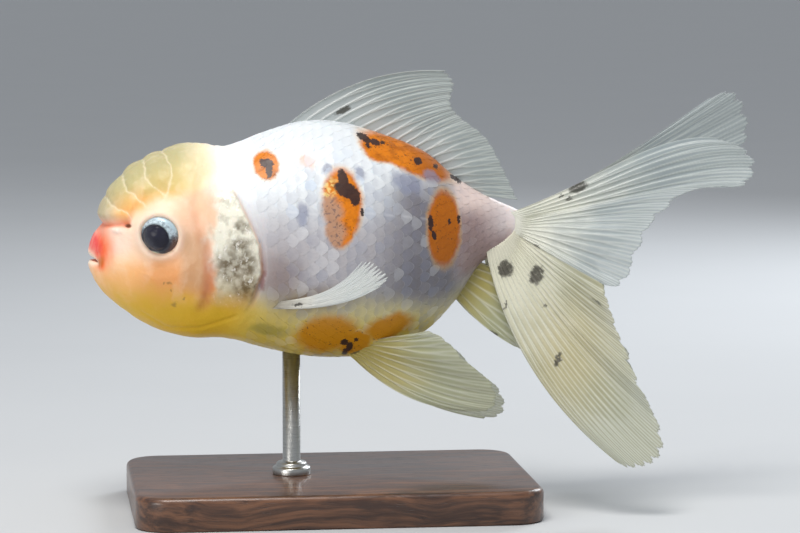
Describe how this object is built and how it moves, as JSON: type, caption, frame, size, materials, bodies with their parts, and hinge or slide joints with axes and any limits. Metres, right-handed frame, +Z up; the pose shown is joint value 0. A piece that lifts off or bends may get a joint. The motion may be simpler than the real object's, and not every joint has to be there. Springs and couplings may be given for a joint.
{
  "type": "goldfish model",
  "caption": "Life-size model of a fancy goldfish with a wen on its head and a split double tail, held by a rod on a flat display base.",
  "frame": {"origin": "middle of the underside of the display base, on the floor", "axes": "+Z up; the fish swims towards -X, so +X runs from head to tail; its left flank faces -Y"},
  "size_m": [0.1224, 0.0512, 0.0786],
  "materials": {
    "skin": "pearly satin skin and scales, white with orange, black and blue-grey patches",
    "wen": "soft cream-orange growth, slightly wet",
    "lips": "pink to red, slightly wet",
    "eye": "clear glossy eye with a silver iris",
    "fin": "thin translucent membrane with white rays",
    "stand_wood": "dark stained wood, satin varnish",
    "stand_steel": "brushed"
  },
  "bodies": {
    "root": {"head": "skin", "upper_lip": "lips", "lower_jaw": "lips", "wen": "wen", "gill_cover_left": "skin", "gill_cover_right": "skin", "eye_left": "eye", "eye_right": "eye", "trunk": "skin", "tail_stalk": "skin", "dorsal_fin": "fin", "pectoral_fin_left": "fin", "pectoral_fin_right": "fin", "pelvic_fin_left": "fin", "pelvic_fin_right": "fin", "anal_fin_left": "fin", "anal_fin_right": "fin", "tail_left_upper": "fin", "tail_left_lower": "fin", "tail_right_upper": "fin", "tail_right_lower": "fin", "stand_base": "stand_wood", "stand_rod": "stand_steel"}
  },
  "joints": []
}
